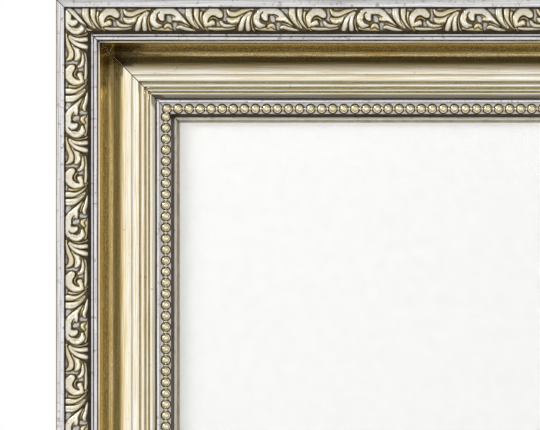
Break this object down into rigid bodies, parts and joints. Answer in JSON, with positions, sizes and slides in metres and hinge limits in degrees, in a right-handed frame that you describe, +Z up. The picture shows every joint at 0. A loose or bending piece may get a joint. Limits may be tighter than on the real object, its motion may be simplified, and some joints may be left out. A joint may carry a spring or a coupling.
{
  "type": "wall picture frame",
  "caption": "Gilded wall picture frame: mitred moulding with leaf-scroll and pearl strips, glass, backing held by turn buttons, and D-ring hangers.",
  "frame": {"origin": "on the wall, behind the middle of the frame", "axes": "+X to the right and +Z up as the picture is looked at, +Y into the wall"},
  "size_m": [0.421, 0.0382, 0.521],
  "materials": {
    "gilt_wood": "gold and silver leaf, burnished, worn at the edges",
    "gilt_composition": "pale gold leaf with dark wash in the hollows",
    "gilt_pearl": "pale gold leaf on a silver ground",
    "clear_glass": "polished",
    "white_card": "matt",
    "hardboard": "smooth pressed fibre",
    "zinc_plated_steel": "zinc plated",
    "bright_steel": "bright rolled",
    "grey_rubber": "matt"
  },
  "bodies": {
    "frame": {"top_rail": "gilt_wood", "right_rail": "gilt_wood", "bottom_rail": "gilt_wood", "left_rail": "gilt_wood", "top_scroll_strip": "gilt_composition", "right_scroll_strip": "gilt_composition", "bottom_scroll_strip": "gilt_composition", "left_scroll_strip": "gilt_composition", "top_pearl_strip": "gilt_pearl", "right_pearl_strip": "gilt_pearl", "bottom_pearl_strip": "gilt_pearl", "left_pearl_strip": "gilt_pearl", "top_left_outer_v_nail": "bright_steel", "top_left_inner_v_nail": "bright_steel", "top_right_outer_v_nail": "bright_steel", "top_right_inner_v_nail": "bright_steel", "bottom_left_outer_v_nail": "bright_steel", "bottom_left_inner_v_nail": "bright_steel", "bottom_right_outer_v_nail": "bright_steel", "bottom_right_inner_v_nail": "bright_steel", "top_turn_button_screw_1": "zinc_plated_steel", "right_turn_button_screw_1": "zinc_plated_steel", "right_turn_button_screw_2": "zinc_plated_steel", "bottom_turn_button_screw_1": "zinc_plated_steel", "left_turn_button_screw_1": "zinc_plated_steel", "left_turn_button_screw_2": "zinc_plated_steel", "left_hanger_upper_screw": "zinc_plated_steel", "left_hanger_lower_screw": "zinc_plated_steel", "right_hanger_upper_screw": "zinc_plated_steel", "right_hanger_lower_screw": "zinc_plated_steel", "left_hanger_strap": "zinc_plated_steel", "right_hanger_strap": "zinc_plated_steel", "glass_pane": "clear_glass", "picture_sheet": "white_card", "backing_board": "hardboard", "left_wall_bumper": "grey_rubber", "right_wall_bumper": "grey_rubber"},
    "top_turn_button_1": {"top_turn_button_1": "zinc_plated_steel"},
    "right_turn_button_1": {"right_turn_button_1": "zinc_plated_steel"},
    "right_turn_button_2": {"right_turn_button_2": "zinc_plated_steel"},
    "bottom_turn_button_1": {"bottom_turn_button_1": "zinc_plated_steel"},
    "left_turn_button_1": {"left_turn_button_1": "zinc_plated_steel"},
    "left_turn_button_2": {"left_turn_button_2": "zinc_plated_steel"},
    "left_hanger_ring": {"left_hanger_ring": "zinc_plated_steel"},
    "right_hanger_ring": {"right_hanger_ring": "zinc_plated_steel"}
  },
  "joints": [
    {"name": "top_turn_button_1_turn", "type": "hinge", "parent": "frame", "child": "top_turn_button_1", "pos_m": [0, -0.0053, 0.2105], "axis": [0, 1, 0], "continuous": true},
    {"name": "right_turn_button_1_turn", "type": "hinge", "parent": "frame", "child": "right_turn_button_1", "pos_m": [0.1605, -0.0053, 0.1], "axis": [0, 1, 0], "continuous": true},
    {"name": "right_turn_button_2_turn", "type": "hinge", "parent": "frame", "child": "right_turn_button_2", "pos_m": [0.1605, -0.0053, -0.1], "axis": [0, 1, 0], "continuous": true},
    {"name": "bottom_turn_button_1_turn", "type": "hinge", "parent": "frame", "child": "bottom_turn_button_1", "pos_m": [0, -0.0053, -0.2105], "axis": [0, 1, 0], "continuous": true},
    {"name": "left_turn_button_1_turn", "type": "hinge", "parent": "frame", "child": "left_turn_button_1", "pos_m": [-0.1605, -0.0053, -0.1], "axis": [0, 1, 0], "continuous": true},
    {"name": "left_turn_button_2_turn", "type": "hinge", "parent": "frame", "child": "left_turn_button_2", "pos_m": [-0.1605, -0.0053, 0.1], "axis": [0, 1, 0], "continuous": true},
    {"name": "left_hanger_ring_swing", "type": "hinge", "parent": "frame", "child": "left_hanger_ring", "pos_m": [-0.1835, -0.0025, 0.1355], "axis": [-1, 0, 0], "range_deg": [0, 176]},
    {"name": "right_hanger_ring_swing", "type": "hinge", "parent": "frame", "child": "right_hanger_ring", "pos_m": [0.1835, -0.0025, 0.1355], "axis": [-1, 0, 0], "range_deg": [0, 176]}
  ]
}
